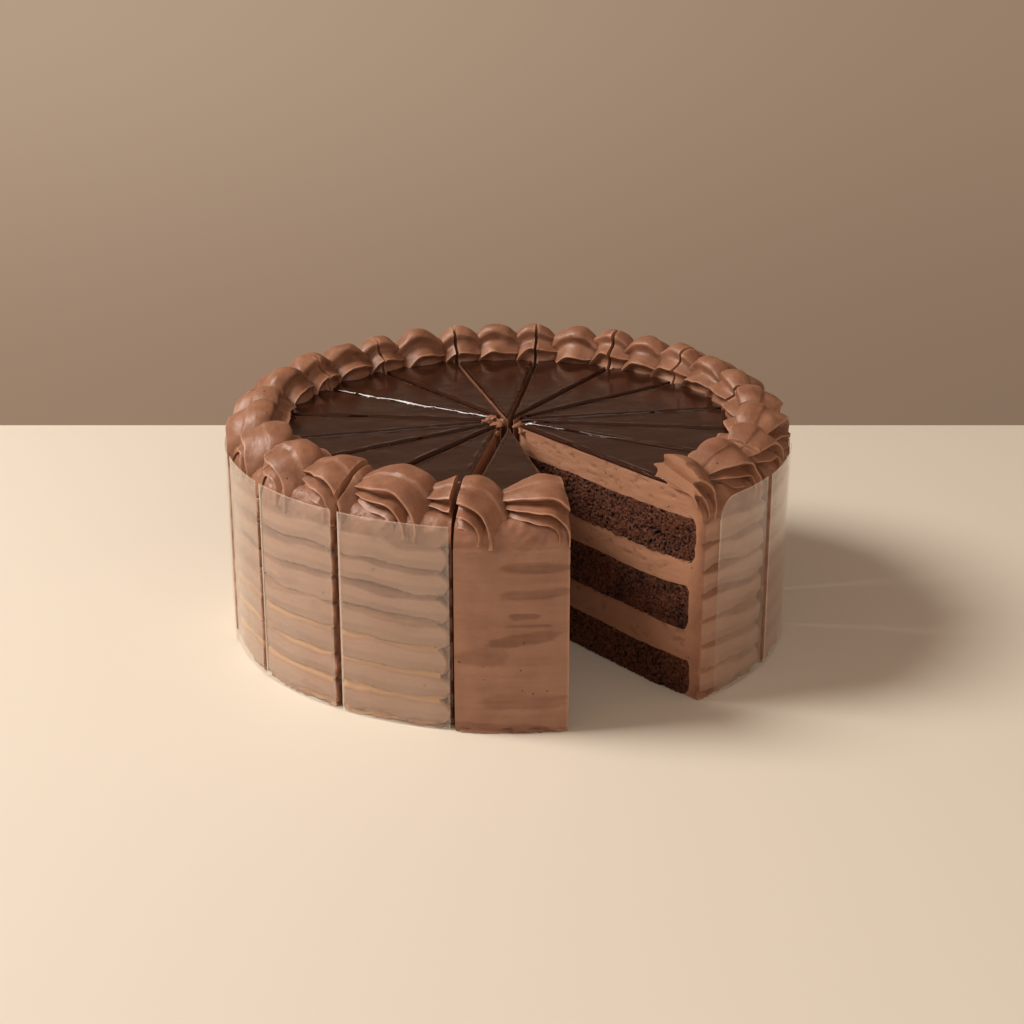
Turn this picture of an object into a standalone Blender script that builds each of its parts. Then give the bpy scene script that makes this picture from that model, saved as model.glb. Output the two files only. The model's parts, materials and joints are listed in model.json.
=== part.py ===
# Round chocolate layer cake, cut into sixteen portions with one taken out.
# Metres, +Z up. The origin is the centre of the underside and the front faces -Y.
# Every portion is its own set of solids: cream-coated body, glaze, piped border and,
# where one shows, the clear strip of film round its outer wall.

import math
import random

import bmesh
import bpy
from mathutils import Matrix, Vector

MM = 0.001

# Whole cake
CAKE_NAME = "chocolate_cake"
WALL_RADIUS = 119.0 * MM
TOP_LEVEL = 86.0 * MM
LEDGE_LEVEL = 75.0 * MM
SHOULDER_RADIUS = 111.0 * MM
CLEARANCE = 0.3 * MM
RING_STEPS = 48

# Cuts
PORTIONS = 16
PORTION_ANGLE = 360.0 / PORTIONS
GAP_ANGLE = -65.85
CUT_TURNS = (2.1, 3.0, 2.6, -1.4, 3.0, 3.0, 2.1, 1.6, 1.6, 1.1, 3.5, 3.0, -1.4, -1.4, 0.3, -1.3)
CUT_INSET = 1.2 * MM
FRONT_PORTION = PORTIONS - 1
FRONT_INSET = 0.75 * MM
SLIT_INSET = 3.6 * MM
FRONT_PUSH = 3.0 * MM
PUSH_STEP = 0.25 * MM

# Combed ridges of the wall
RIDGE_COUNT = 7
RIDGE_DEPTH = 2.3 * MM
RIDGE_FOOT = 0.8 * MM
RIDGE_FULL = (0.28, 0.72)
LEDGE_ROUND = 0.2
FOOT_ROUND = 0.6
SHOULDER_FULLNESS = 0.9

# Layers, from the underside up
SPONGE_RADIUS = 111.0 * MM
SPONGE_LEVELS = {
    "low": (0.0, 15.8 * MM),
    "mid": (28.2 * MM, 46.0 * MM),
    "top": (57.2 * MM, 75.0 * MM),
}
SLOT_DEPTH = 5.0 * MM

# Glaze poured over the top
GLAZE_RADIUS = 101.0 * MM
GLAZE_TOP = 87.6 * MM
GLAZE_ROUND = 0.5 * MM

# Film strips
FILM_INNER = 119.4 * MM
FILM_THICK = 0.3 * MM
FILM_FOOT = 0.4 * MM
FILM_TOP = 83.0 * MM
FILM_MARGIN = 0.25
FILM_LATE_START = 5.0
FILM_PORTIONS = (1, 2, 3, 11, 12, 13, 14)

# Piped border: one curl of star-tip cream after another, crowded and tall at the back
CURLS = 28
CURL_PHASE = -97.5
CURL_CROWDING = 0.2
CURL_CENTRE = 105.4 * MM
CURL_WIDTH = 13.6 * MM
CURL_HEIGHT = 13.4 * MM
CURL_RISE = 9.5 * MM
CURL_SINK = 7.5 * MM
CURL_STRETCH = 0.78
CURL_YAW = 6.0
FRONT_LENGTH = 0.14
FRONT_WIDTH = 0.09
FRONT_HEIGHT = -0.2
BORDER_REACH = 118.9 * MM
BORDER_SEED = 41

# Star outline of the piped cream: its crests as angle from straight up and reach
CRESTS = ((-82.0, 1.04), (-40.0, 0.96), (14.0, 0.86), (62.0, 0.88), (94.0, 0.93), (121.0, 0.97))
DOME_CREST = 1
FACE_CREST = 2
DOME_SWELL = 0.06
NOTCH_TUCK = 3.0
NOTCH_REACH = 0.60
BASE_ANGLE = 152.0
BASE_REACH = 0.62

# Stations of a curl from tail to head: way along, lean of the section, size
TAIL_STATIONS = ((-17.0, 90.0, 0.35), (-12.5, 90.0, 0.72), (-6.5, 90.0, 0.94))
HEAD_LEANS = (90.0, 62.0, 34.0, 8.0, -16.0)

# Colours, sRGB turned to linear by the material maker
CREAM_COLOUR = (0.56, 0.38, 0.29)
SPONGE_COLOUR = (0.17, 0.09, 0.06)
GLAZE_COLOUR = (0.13, 0.07, 0.05)
FILM_COLOUR = (0.86, 0.84, 0.80)


def clear_scene():
    for obj in list(bpy.data.objects):
        bpy.data.objects.remove(obj, do_unlink=True)


def new_collection(name):
    collection = bpy.data.collections.new(name)
    bpy.context.scene.collection.children.link(collection)
    return collection


def to_linear(value):
    return value / 12.92 if value <= 0.04045 else ((value + 0.055) / 1.055) ** 2.4


def make_material(name, colour, roughness, alpha=1.0):
    material = bpy.data.materials.new(name)
    material.use_nodes = True
    shader = material.node_tree.nodes["Principled BSDF"]
    shader.inputs["Base Color"].default_value = [to_linear(c) for c in colour] + [1.0]
    shader.inputs["Roughness"].default_value = roughness
    shader.inputs["Metallic"].default_value = 0.0
    shader.inputs["Alpha"].default_value = alpha
    return material


def cut_angle(number):
    """Angle of a cut made by hand, a little off its even share of the round."""
    return GAP_ANGLE + PORTION_ANGLE * (number + 0.5) + CUT_TURNS[number]


def portion_limits(index):
    """Start and end angle of a portion, counted anticlockwise from the gap."""
    return cut_angle(index - 1), cut_angle(index)


def portion_insets(index):
    """How far the two cut faces of a portion lie inside the lines of its cuts."""
    if index == FRONT_PORTION:
        return FRONT_INSET, FRONT_INSET
    return CUT_INSET, SLIT_INSET if index == FRONT_PORTION - 1 else CUT_INSET


def portion_tip(index):
    """Point in plan where the two cut faces of a portion meet."""
    start, end = (math.radians(angle) for angle in portion_limits(index))
    near, far = portion_insets(index)
    spread = math.sin(end - start)
    x = (near * math.cos(end) + far * math.cos(start)) / spread
    y = (near * math.sin(end) + far * math.sin(start)) / spread
    return Vector((x, y, 0.0))


def portion_push(index):
    """How far a portion has slid outward from the middle."""
    if index == FRONT_PORTION:
        return FRONT_PUSH
    return PUSH_STEP * (index % 3)


def direction(angle):
    return Vector((math.cos(math.radians(angle)), math.sin(math.radians(angle)), 0.0))


def push_vector(index):
    return direction(sum(portion_limits(index)) / 2) * portion_push(index)


def settle(obj):
    """Replace an object's mesh by its evaluated one, closed and without scraps."""
    graph = bpy.context.evaluated_depsgraph_get()
    mesh = bpy.data.meshes.new_from_object(obj.evaluated_get(graph))
    bm = bmesh.new()
    bm.from_mesh(mesh)
    bmesh.ops.remove_doubles(bm, verts=bm.verts, dist=0.002 * MM)
    bmesh.ops.dissolve_degenerate(bm, edges=bm.edges, dist=0.002 * MM)
    drop_scraps(bm)
    bmesh.ops.triangulate(bm, faces=bm.faces)
    bm.to_mesh(mesh)
    bm.free()
    obj.modifiers.clear()
    obj.data = mesh
    return obj


def drop_scraps(bm):
    """Keep the largest closed body of a mesh."""
    unseen = set(bm.faces)
    bodies = []
    while unseen:
        body = [unseen.pop()]
        for face in body:
            for edge in face.edges:
                for other in edge.link_faces:
                    if other in unseen:
                        unseen.remove(other)
                        body.append(other)
        bodies.append(body)
    bodies.sort(key=lambda body: sum(face.calc_area() for face in body))
    loose = [face for body in bodies[:-1] for face in body]
    bmesh.ops.delete(bm, geom=loose, context="FACES")


def link(obj, collection, material=None):
    collection.objects.link(obj)
    if material:
        obj.data.materials.clear()
        obj.data.materials.append(material)
    return obj


def as_cutter(obj):
    obj.hide_render = True
    obj.display_type = "WIRE"
    return obj


def add_boolean(obj, operation, cutter):
    cut = obj.modifiers.new(operation.lower(), "BOOLEAN")
    cut.operation = operation
    if isinstance(cutter, bpy.types.Collection):
        cut.operand_type = "COLLECTION"
        cut.collection = cutter
    else:
        cut.object = cutter
    return cut


def turned(name, profile):
    """Solid turned round Z from a profile of (radius, level) that runs from top to bottom."""
    mesh = bpy.data.meshes.new(name)
    points = [(radius, 0.0, level) for radius, level in profile]
    mesh.from_pydata(points, [(i, i + 1) for i in range(len(points) - 1)], [])
    obj = bpy.data.objects.new(name, mesh)
    obj.rotation_euler.z = math.radians(GAP_ANGLE + PORTION_ANGLE / 2)
    screw = obj.modifiers.new("turn", "SCREW")
    screw.steps = RING_STEPS
    screw.render_steps = RING_STEPS
    screw.use_merge_vertices = True
    screw.merge_threshold = 0.01 * MM
    screw.use_smooth_shade = False
    return obj


def wedge(name, index):
    """Upright prism that holds one portion between its two cut faces."""
    start, end = portion_limits(index)
    tip = portion_tip(index)
    reach = 3 * WALL_RADIUS
    corners = [tip, tip + direction(start) * reach, tip + direction(end) * reach]
    curve = bpy.data.curves.new(name, "CURVE")
    curve.dimensions = "2D"
    curve.fill_mode = "BOTH"
    curve.extrude = WALL_RADIUS
    spline = curve.splines.new("POLY")
    spline.points.add(len(corners) - 1)
    for point, corner in zip(spline.points, corners):
        point.co = (corner.x, corner.y, 0.0, 1.0)
    spline.use_cyclic_u = True
    flat = bpy.data.objects.new(name + "_outline", curve)
    bpy.context.scene.collection.objects.link(flat)
    graph = bpy.context.evaluated_depsgraph_get()
    mesh = bpy.data.meshes.new_from_object(flat.evaluated_get(graph))
    bpy.data.objects.remove(flat, do_unlink=True)
    bm = bmesh.new()
    bm.from_mesh(mesh)
    bmesh.ops.remove_doubles(bm, verts=bm.verts, dist=0.01 * MM)
    bmesh.ops.recalc_face_normals(bm, faces=bm.faces)
    bm.to_mesh(mesh)
    bm.free()
    return bpy.data.objects.new(name, mesh)


def shoulder_profile(lift=0.0):
    """Rounded edge between the top of the cream and its ledge behind the film."""
    rise = TOP_LEVEL - LEDGE_LEVEL
    run = WALL_RADIUS - SHOULDER_RADIUS
    turns = (90.0, 60.0, 30.0)
    return [
        (
            SHOULDER_RADIUS + run * SHOULDER_FULLNESS * math.cos(math.radians(turn)) + lift,
            LEDGE_LEVEL + rise * math.sin(math.radians(turn)) + lift,
        )
        for turn in turns
    ]


def wall_profile():
    """Combed outer wall from the ledge down: full ridges with narrow grooves between them."""
    pitch = (LEDGE_LEVEL - RIDGE_FOOT) / RIDGE_COUNT
    points = [(WALL_RADIUS - LEDGE_ROUND * RIDGE_DEPTH, LEDGE_LEVEL)]
    for ridge in range(RIDGE_COUNT):
        top = LEDGE_LEVEL - pitch * ridge
        points += [(WALL_RADIUS, top - share * pitch) for share in RIDGE_FULL]
        if ridge < RIDGE_COUNT - 1:
            points.append((WALL_RADIUS - RIDGE_DEPTH, top - pitch))
    points.append((WALL_RADIUS - FOOT_ROUND * RIDGE_DEPTH, 0.0))
    return points


def body_profile():
    return [(0.0, TOP_LEVEL)] + shoulder_profile() + wall_profile() + [(0.0, 0.0)]


def border_room_profile():
    """Space that the piped border may fill: above the glaze and cream, inside the film."""
    ceiling = TOP_LEVEL + 40 * MM
    seat = TOP_LEVEL + CLEARANCE
    step = GLAZE_RADIUS + CLEARANCE
    shoulder = shoulder_profile(CLEARANCE)
    shoulder.reverse()
    return (
        [(0.0, ceiling), (BORDER_REACH, ceiling), (BORDER_REACH, LEDGE_LEVEL + CLEARANCE)]
        + shoulder[:-1]
        + [(SHOULDER_RADIUS, seat), (step, seat), (step, GLAZE_TOP + CLEARANCE)]
        + [(0.0, GLAZE_TOP + CLEARANCE)]
    )


def glaze_profile():
    under = TOP_LEVEL + CLEARANCE
    return [
        (0.0, GLAZE_TOP),
        (GLAZE_RADIUS - GLAZE_ROUND, GLAZE_TOP),
        (GLAZE_RADIUS, GLAZE_TOP - GLAZE_ROUND),
        (GLAZE_RADIUS, under),
        (0.0, under),
    ]


def disc_profile(radius, low, high):
    return [(0.0, high), (radius, high), (radius, low), (0.0, low)]


def star_outline():
    """Outline of the piped cream across its stroke as (outward, up) pairs, size 1.

    Away from its dome every crest hangs as a lip over the notch below it.
    """
    polar = [(-BASE_ANGLE, BASE_REACH)]
    for number, (angle, reach) in enumerate(CRESTS):
        if number == DOME_CREST:
            polar.append((angle - NOTCH_TUCK, (reach + NOTCH_REACH) / 2))
        polar.append((angle, reach))
        if number in (DOME_CREST, FACE_CREST):
            after, far = CRESTS[number + 1]
            polar.append(((angle + after) / 2, (reach + far) / 2 + DOME_SWELL))
        elif number > FACE_CREST and number < len(CRESTS) - 1:
            polar.append((angle + NOTCH_TUCK, NOTCH_REACH))
    polar.append((BASE_ANGLE, BASE_REACH))
    return [
        (reach * math.sin(math.radians(angle)), reach * math.cos(math.radians(angle)))
        for angle, reach in polar
    ]


def curl_stations():
    """Places of the star outline from the low tail, over the top and down at the head."""
    stations = [(x * MM, lean, size) for x, lean, size in TAIL_STATIONS]
    stations += [(0.0, lean, 1.0) for lean in HEAD_LEANS]
    return stations


def curl_mesh(name, size, roll):
    """Closed loft of the star outline along one curl; X is along it and Y towards the middle."""
    length, width, height = size
    spin = Matrix.Rotation(math.radians(roll), 2)
    outline = [spin @ Vector(pair) for pair in star_outline()]
    rings = []
    bm = bmesh.new()
    for along, lean, scale in curl_stations():
        turn = math.radians(lean)
        up = Vector((math.cos(turn) * CURL_STRETCH * length, 0.0, math.sin(turn)))
        ring = []
        for out, rise in outline:
            level = max(CLEARANCE, CURL_RISE + rise * CURL_HEIGHT * height * scale)
            place = Vector((along * length, -out * CURL_WIDTH * width * scale, 0.0)) + up * level
            ring.append(bm.verts.new(place))
        rings.append(ring)
    count = len(outline)
    for near, far in zip(rings, rings[1:]):
        for i in range(count):
            j = (i + 1) % count
            bm.faces.new((near[i], near[j], far[j], far[i]))
    bm.faces.new(rings[0])
    bm.faces.new(rings[-1])
    bmesh.ops.remove_doubles(bm, verts=bm.verts, dist=0.01 * MM)
    bmesh.ops.dissolve_degenerate(bm, edges=bm.edges, dist=0.01 * MM)
    bmesh.ops.triangulate(bm, faces=bm.faces)
    bmesh.ops.recalc_face_normals(bm, faces=bm.faces)
    mesh = bpy.data.meshes.new(name)
    bm.to_mesh(mesh)
    bm.free()
    return mesh


def curl_placing(rng, number):
    """Matrix that stands a curl on the edge of the cake, and its size and roll."""
    turn = 2 * math.pi * number / CURLS
    front = math.cos(turn)
    angle = CURL_PHASE - math.degrees(turn + CURL_CROWDING * math.sin(turn)) + rng.uniform(-0.7, 0.7)
    each = rng.uniform(0.95, 1.05)
    size = [each * (1 + share * front) for share in (FRONT_LENGTH, FRONT_WIDTH, FRONT_HEIGHT)]
    roll = rng.uniform(-7.0, 7.0)
    yaw = CURL_YAW + rng.uniform(-6.0, 6.0)
    outward = direction(angle)
    along = direction(angle + 90.0)
    centre = outward * (CURL_CENTRE - CURL_WIDTH * FRONT_WIDTH * front)
    place = Matrix((
        (along.x, -outward.x, 0.0, centre.x),
        (along.y, -outward.y, 0.0, centre.y),
        (0.0, 0.0, 1.0, TOP_LEVEL - CURL_SINK),
        (0.0, 0.0, 0.0, 1.0),
    ))
    return place @ Matrix.Rotation(math.radians(-yaw), 4, "Z"), size, roll


def make_border_ring(cutters):
    """All curls of the border fused into one ring and trimmed to the room they have."""
    rng = random.Random(BORDER_SEED)
    curls = bpy.data.collections.new("curls")
    cutters.children.link(curls)
    for number in range(CURLS):
        matrix, size, roll = curl_placing(rng, number)
        curl = bpy.data.objects.new(f"curl_{number:02d}", curl_mesh("curl", size, roll))
        curl.matrix_world = matrix
        link(curl, curls)
        as_cutter(curl)
    first = curls.objects[0]
    ring = bpy.data.objects.new("border_ring", first.data)
    ring.matrix_world = first.matrix_world.copy()
    cutters.objects.link(ring)
    bpy.data.objects.remove(first, do_unlink=True)
    room = as_cutter(link(turned("border_room", border_room_profile()), cutters))
    add_boolean(ring, "UNION", curls)
    add_boolean(ring, "INTERSECT", room)
    graph = bpy.context.evaluated_depsgraph_get()
    ring.data = bpy.data.meshes.new_from_object(ring.evaluated_get(graph))
    ring.modifiers.clear()
    for curl in list(curls.objects):
        bpy.data.objects.remove(curl, do_unlink=True)
    bpy.data.objects.remove(room, do_unlink=True)
    bpy.data.collections.remove(curls)
    return as_cutter(ring)


def cut_out(name, source, cutter, cake, material, index):
    """Part of a whole-cake solid that lies in one portion, pushed out with that portion."""
    piece = source.copy()
    piece.name = name
    piece.hide_render = False
    piece.display_type = "TEXTURED"
    piece.data = source.data.copy()
    link(piece, cake, material)
    add_boolean(piece, "INTERSECT", cutter)
    settle(piece)
    piece.location = piece.location + push_vector(index)
    return piece


def make_film(name, index, cake, material):
    """Strip of film round the outer wall of one portion."""
    start, end = portion_limits(index)
    near, far = (math.degrees(inset / WALL_RADIUS) for inset in portion_insets(index))
    start += near + (FILM_LATE_START if index == 1 else FILM_MARGIN)
    end -= far + FILM_MARGIN
    mesh = bpy.data.meshes.new(name)
    mesh.from_pydata([(FILM_INNER, 0.0, FILM_TOP), (FILM_INNER, 0.0, FILM_FOOT)], [(0, 1)], [])
    film = bpy.data.objects.new(name, mesh)
    film.rotation_euler.z = math.radians(start)
    screw = film.modifiers.new("turn", "SCREW")
    screw.angle = math.radians(end - start)
    screw.steps = 4
    screw.render_steps = 4
    screw.use_smooth_shade = False
    shell = film.modifiers.new("thickness", "SOLIDIFY")
    shell.thickness = FILM_THICK
    shell.offset = 1.0
    link(film, cake, material)
    film.location = push_vector(index)
    return film


def make_gap_portion(prefix, index, sources, cutter, cake, materials):
    """Portion beside the gap: three sponges and the cream round and between them."""
    for level in SPONGE_LEVELS:
        name = f"{prefix}_sponge_{level}"
        cut_out(name, sources["sponge_" + level], cutter, cake, materials["sponge"], index)
    cut_out(f"{prefix}_cream", sources["cream"], cutter, cake, materials["cream"], index)


def make_cream_ring(body, cutters):
    """Cake body without its sponges: side coat, fillings and top cream in one."""
    for level, (low, high) in SPONGE_LEVELS.items():
        floor = low - SLOT_DEPTH if low == 0.0 else low
        slot = turned("slot_" + level, disc_profile(SPONGE_RADIUS + CLEARANCE, floor, high))
        as_cutter(link(slot, cutters))
        add_boolean(body, "DIFFERENCE", slot)
    graph = bpy.context.evaluated_depsgraph_get()
    body.data = bpy.data.meshes.new_from_object(body.evaluated_get(graph))
    body.modifiers.clear()
    return body


def make_sources(cutters):
    """Whole-cake solids from which each portion takes its share."""
    sources = {
        "body": turned("whole_body", body_profile()),
        "cream": turned("whole_cream", body_profile()),
        "glaze": turned("whole_glaze", glaze_profile()),
    }
    for level, (low, high) in SPONGE_LEVELS.items():
        foot = low if low == 0.0 else low + CLEARANCE
        profile = disc_profile(SPONGE_RADIUS, foot, high - CLEARANCE)
        sources["sponge_" + level] = turned("whole_sponge_" + level, profile)
    for source in sources.values():
        as_cutter(link(source, cutters))
    make_cream_ring(sources["cream"], cutters)
    sources["border"] = make_border_ring(cutters)
    return sources


def make_materials():
    return {
        "cream": make_material("chocolate_cream", CREAM_COLOUR, 0.55),
        "sponge": make_material("chocolate_sponge", SPONGE_COLOUR, 0.9),
        "glaze": make_material("chocolate_glaze", GLAZE_COLOUR, 0.25),
        "film": make_material("clear_film", FILM_COLOUR, 0.1, alpha=0.35),
    }


def main():
    clear_scene()
    cake = new_collection(CAKE_NAME)
    cutters = new_collection("cutters")
    materials = make_materials()
    sources = make_sources(cutters)
    for index in range(1, PORTIONS):
        prefix = f"portion_{index:02d}"
        cutter = as_cutter(link(wedge(f"wedge_{index:02d}", index), cutters))
        if index in (1, FRONT_PORTION):
            make_gap_portion(prefix, index, sources, cutter, cake, materials)
        else:
            cut_out(f"{prefix}_body", sources["body"], cutter, cake, materials["cream"], index)
        cut_out(f"{prefix}_glaze", sources["glaze"], cutter, cake, materials["glaze"], index)
        cut_out(f"{prefix}_border", sources["border"], cutter, cake, materials["cream"], index)
        if index in FILM_PORTIONS:
            make_film(f"{prefix}_film", index, cake, materials["film"])


main()
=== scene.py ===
import json
import math
import random

import bmesh
import bpy
import numpy as np
from mathutils import Matrix, Vector

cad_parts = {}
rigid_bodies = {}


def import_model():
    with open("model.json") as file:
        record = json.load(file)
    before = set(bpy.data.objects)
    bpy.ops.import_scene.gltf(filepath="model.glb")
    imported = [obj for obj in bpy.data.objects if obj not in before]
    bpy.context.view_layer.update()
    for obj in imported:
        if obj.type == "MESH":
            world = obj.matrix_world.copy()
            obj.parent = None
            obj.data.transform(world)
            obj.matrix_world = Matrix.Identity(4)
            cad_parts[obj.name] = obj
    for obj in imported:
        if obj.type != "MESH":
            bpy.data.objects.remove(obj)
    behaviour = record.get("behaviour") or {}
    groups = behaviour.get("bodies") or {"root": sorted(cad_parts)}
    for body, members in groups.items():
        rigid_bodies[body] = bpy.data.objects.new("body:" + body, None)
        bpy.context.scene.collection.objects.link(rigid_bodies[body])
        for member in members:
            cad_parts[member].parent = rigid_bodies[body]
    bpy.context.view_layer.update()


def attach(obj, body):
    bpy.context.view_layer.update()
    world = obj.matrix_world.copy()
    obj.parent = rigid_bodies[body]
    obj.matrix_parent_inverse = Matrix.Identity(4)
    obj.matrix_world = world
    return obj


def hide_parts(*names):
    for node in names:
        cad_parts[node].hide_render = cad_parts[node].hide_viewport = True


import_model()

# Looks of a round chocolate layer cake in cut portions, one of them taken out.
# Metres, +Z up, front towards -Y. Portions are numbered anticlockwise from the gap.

MM = 0.001

# Camera, fitted to the circles of the cake in a square image of 1024 pixels
IMAGE_SIZE = 1024
SENSOR = 36.0
FOCAL_PIXELS = 1900.5
CAMERA_PLACE = (1.6 * MM, -776.0 * MM, 327.7 * MM)
CAMERA_DOWN = 19.94
CAMERA_CLIP = 0.01

# Whole cake
WALL_RADIUS = 119.0 * MM
TOP_LEVEL = 86.0 * MM
LEDGE_LEVEL = 75.0 * MM
SHOULDER_RADIUS = 111.0 * MM
SEAT_INNER = 99.0 * MM

# Cuts
PORTIONS = 16
PORTION_ANGLE = 360.0 / PORTIONS
GAP_ANGLE = -65.85
CUT_TURNS = (2.1, 3.0, 2.6, -1.4, 3.0, 3.0, 2.1, 1.6, 1.6, 1.1, 3.5, 3.0, -1.4, -1.4, 0.3, -1.3)
CUT_INSET = 1.2 * MM
FRONT_INSET = 0.75 * MM
SLIT_INSET = 3.6 * MM
# How much wider a portion grows towards its wall: start side, end side
FLARES = {15: (1.9 * MM, 0.0), 14: (0.0, 1.6 * MM), 1: (-2.6 * MM, 0.0)}
FLARE_RADIUS = 92 * MM
FRONT_PUSH = 3.0 * MM
PUSH_STEP = 0.25 * MM
TIP_SHARE = 0.008
FRONT = PORTIONS - 1
OPEN = 1

# Mesh steps: portions near the camera, the others, the coat's inside, and slabs as along, up, across
CLOSE_PORTIONS = (1, 2, 12, 13, 14, 15)
CLOSE_STEP = 0.57 * MM
FAR_STEP = 1.2 * MM
INNER_STEP = 0.7 * MM
CREAM_STEPS = (110, 18, 3)
SPONGE_STEPS = {OPEN: (300, 48, 3), FRONT: (130, 20, 3)}
FAR_SPONGE_STEPS = (32, 6, 3)

# Combed wall
RIDGE_COUNT = 7
RIDGE_DEPTH = 1.7 * MM
RIDGE_FOOT = 0.8 * MM

# Layers
SPONGE_RADIUS = 111.0 * MM
SPONGE_ENDS = {"low": 2.2 * MM, "mid": 1.0 * MM, "top": 3.3 * MM}
SPONGE_LEVELS = {"low": (0.0, 15.8 * MM), "mid": (28.2 * MM, 46.0 * MM), "top": (57.2 * MM, 75.0 * MM)}

# Glaze
GLAZE_RADIUS = 101.0 * MM
GLAZE_UNDER = 86.0 * MM
GLAZE_TOP = 87.6 * MM
GLAZE_EDGE = np.array([0.0, 0.25, 0.6, 1.1, 1.8, 3.0]) * MM
GLAZE_ROWS = 72
GLAZE_COLUMNS = 9
GLAZE_BEAD = 0.24 * MM
GLAZE_BRIM = 0.8 * MM
GLAZE_FALL = 1.0 * MM
GLAZE_OVERHANG = 0.3 * MM

# Film, its margin and late start in degrees
FILM_INNER = 119.35 * MM
FILM_THICK = 0.25 * MM
FILM_FOOT = 0.4 * MM
FILM_TOP = 83.0 * MM
FILM_MARGIN = 0.25
FILM_LATE_START = 5.0
FILM_RIM = 0.45 * MM
FILM_CORNER = 9 * MM
FILM_ROWS = 18
FILM_COLUMNS = 26
FILM_NODES = (1, 2, 3, 11, 12, 13, 14)

# Piped border, its phase, yaw and head turn in degrees
CURLS = 28
CURL_PHASE = -97.5
CURL_CROWDING = 0.2
CURL_CENTRE = 105.4 * MM
CURL_WIDTH = 13.6 * MM
CURL_HEIGHT = 13.4 * MM
CURL_RISE = 9.5 * MM
CURL_SINK = 7.5 * MM
CURL_STRETCH = 0.78
TAIL_STEPS = 18
HEAD_STEPS = 26
CURL_YAW = 6.0
FRONT_LENGTH = 0.14
FRONT_WIDTH = 0.09
FRONT_HEIGHT = -0.2
BORDER_REACH = 118.9 * MM
BORDER_SEED = 41
CRESTS = (
    # angle from upright, reach
    (-106.0, 0.98), (-74.0, 1.02), (-36.0, 0.96), (12.0, 0.90),
    (60.0, 0.99), (90.0, 0.96), (116.0, 1.00),
)
DOME_SWELL = 0.06
HOLLOWS = (0.07, 0.30, 0.26)
HOLLOW_INNER = 0.22
LIP_TURN = 2.5
BASE_REACH = 0.62
# Degrees by which the border's cuts are closed up, and their share of the flares
CLOSED_UP = 0.3
BORDER_FLARE = 0.45
TAIL_START = -17.5 * MM
TAIL_SIZE = 0.34
HEAD_TURN = 106.0
MERGE = 0.01 * MM

# Lumps of cream left at the middle: place, level and size in millimetres
CENTRE_LUMPS = (
    (-7.4, 0.6, 86.2, 2.6),
    (-5.4, -2.6, 85.6, 2.2),
    (-9.4, -1.4, 86.9, 1.5),
    (-4.9, -7.6, 83.4, 2.0),
    (-2.2, 3.4, 84.4, 2.0),
    (6.2, -5.6, 83.4, 2.2),
    (4.2, -2.2, 84.6, 1.9),
    (9.6, -7.2, 84.6, 1.2),
    (11.4, -3.0, 87.2, 0.9),
    (4.6, 1.6, 84.2, 1.8),
)


# Noise

def hash_values(cells, seed):
    """Even random numbers from 0 to 1, one for each row of whole-number cells."""
    mixed = cells.astype(np.int64).astype(np.uint64)
    key = mixed[..., 0] * np.uint64(0x9E3779B97F4A7C15)
    key ^= mixed[..., 1] * np.uint64(0xC2B2AE3D27D4EB4F)
    key ^= mixed[..., 2] * np.uint64(0x165667B19E3779F9)
    key ^= np.uint64(seed * 0x27D4EB2F + 0x1234567)
    key ^= key >> np.uint64(31)
    key *= np.uint64(0xBF58476D1CE4E5B9)
    key ^= key >> np.uint64(29)
    key *= np.uint64(0x94D049BB133111EB)
    key ^= key >> np.uint64(32)
    return (key >> np.uint64(11)).astype(np.float64) / float(1 << 53)


def smooth_noise(points, seed):
    """Smooth noise from -1 to 1 with features one unit across."""
    points = np.asarray(points, float)
    cell = np.floor(points)
    part = points - cell
    ease = part * part * (3 - 2 * part)
    total = np.zeros(points.shape[:-1])
    for dx in (0, 1):
        for dy in (0, 1):
            for dz in (0, 1):
                step = np.array((dx, dy, dz))
                weight = np.prod(np.where(step == 1, ease, 1 - ease), axis=-1)
                total += weight * hash_values(cell + step, seed)
    return total * 2 - 1


def fractal(points, seed, octaves=3, gain=0.5):
    total = 0.0
    size = 1.0
    for octave in range(octaves):
        total = total + size * smooth_noise(np.asarray(points) * 2.0 ** octave, seed + octave)
        size *= gain
    return total


def nearest_cell(points, seed):
    """Distance to the nearest of scattered points, about one for each unit cell."""
    points = np.asarray(points, float)
    cell = np.floor(points)
    best = np.full(points.shape[:-1], 9.0)
    for dx in (-1, 0, 1):
        for dy in (-1, 0, 1):
            for dz in (-1, 0, 1):
                other = cell + np.array((dx, dy, dz))
                centre = np.stack([hash_values(other, seed + k) for k in range(3)], axis=-1)
                gap = other + centre - points
                best = np.minimum(best, np.sum(gap * gap, axis=-1))
    return np.sqrt(best)


def smooth_step(low, high, value):
    part = np.clip((value - low) / (high - low), 0.0, 1.0)
    return part * part * (3 - 2 * part)


def stack(*parts):
    return np.stack(np.broadcast_arrays(*parts), axis=-1)


def patches(a, wide, b, tall, cut, seed):
    """Smooth noise over two lengths, its patches wide by tall millimetres."""
    return smooth_noise(stack(a / (wide * MM), b / (tall * MM), cut), seed)


def fractal_patches(a, wide, b, tall, cut, seed, octaves=3, gain=0.5):
    return fractal(stack(a / (wide * MM), b / (tall * MM), cut), seed, octaves, gain)


# Portions

def cut_angle(number):
    return GAP_ANGLE + PORTION_ANGLE * (number + 0.5) + CUT_TURNS[number]


def portion_limits(index):
    return cut_angle(index - 1), cut_angle(index)


def portion_insets(index):
    if index == FRONT:
        return FRONT_INSET, FRONT_INSET
    return CUT_INSET, SLIT_INSET if index == FRONT - 1 else CUT_INSET


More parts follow.
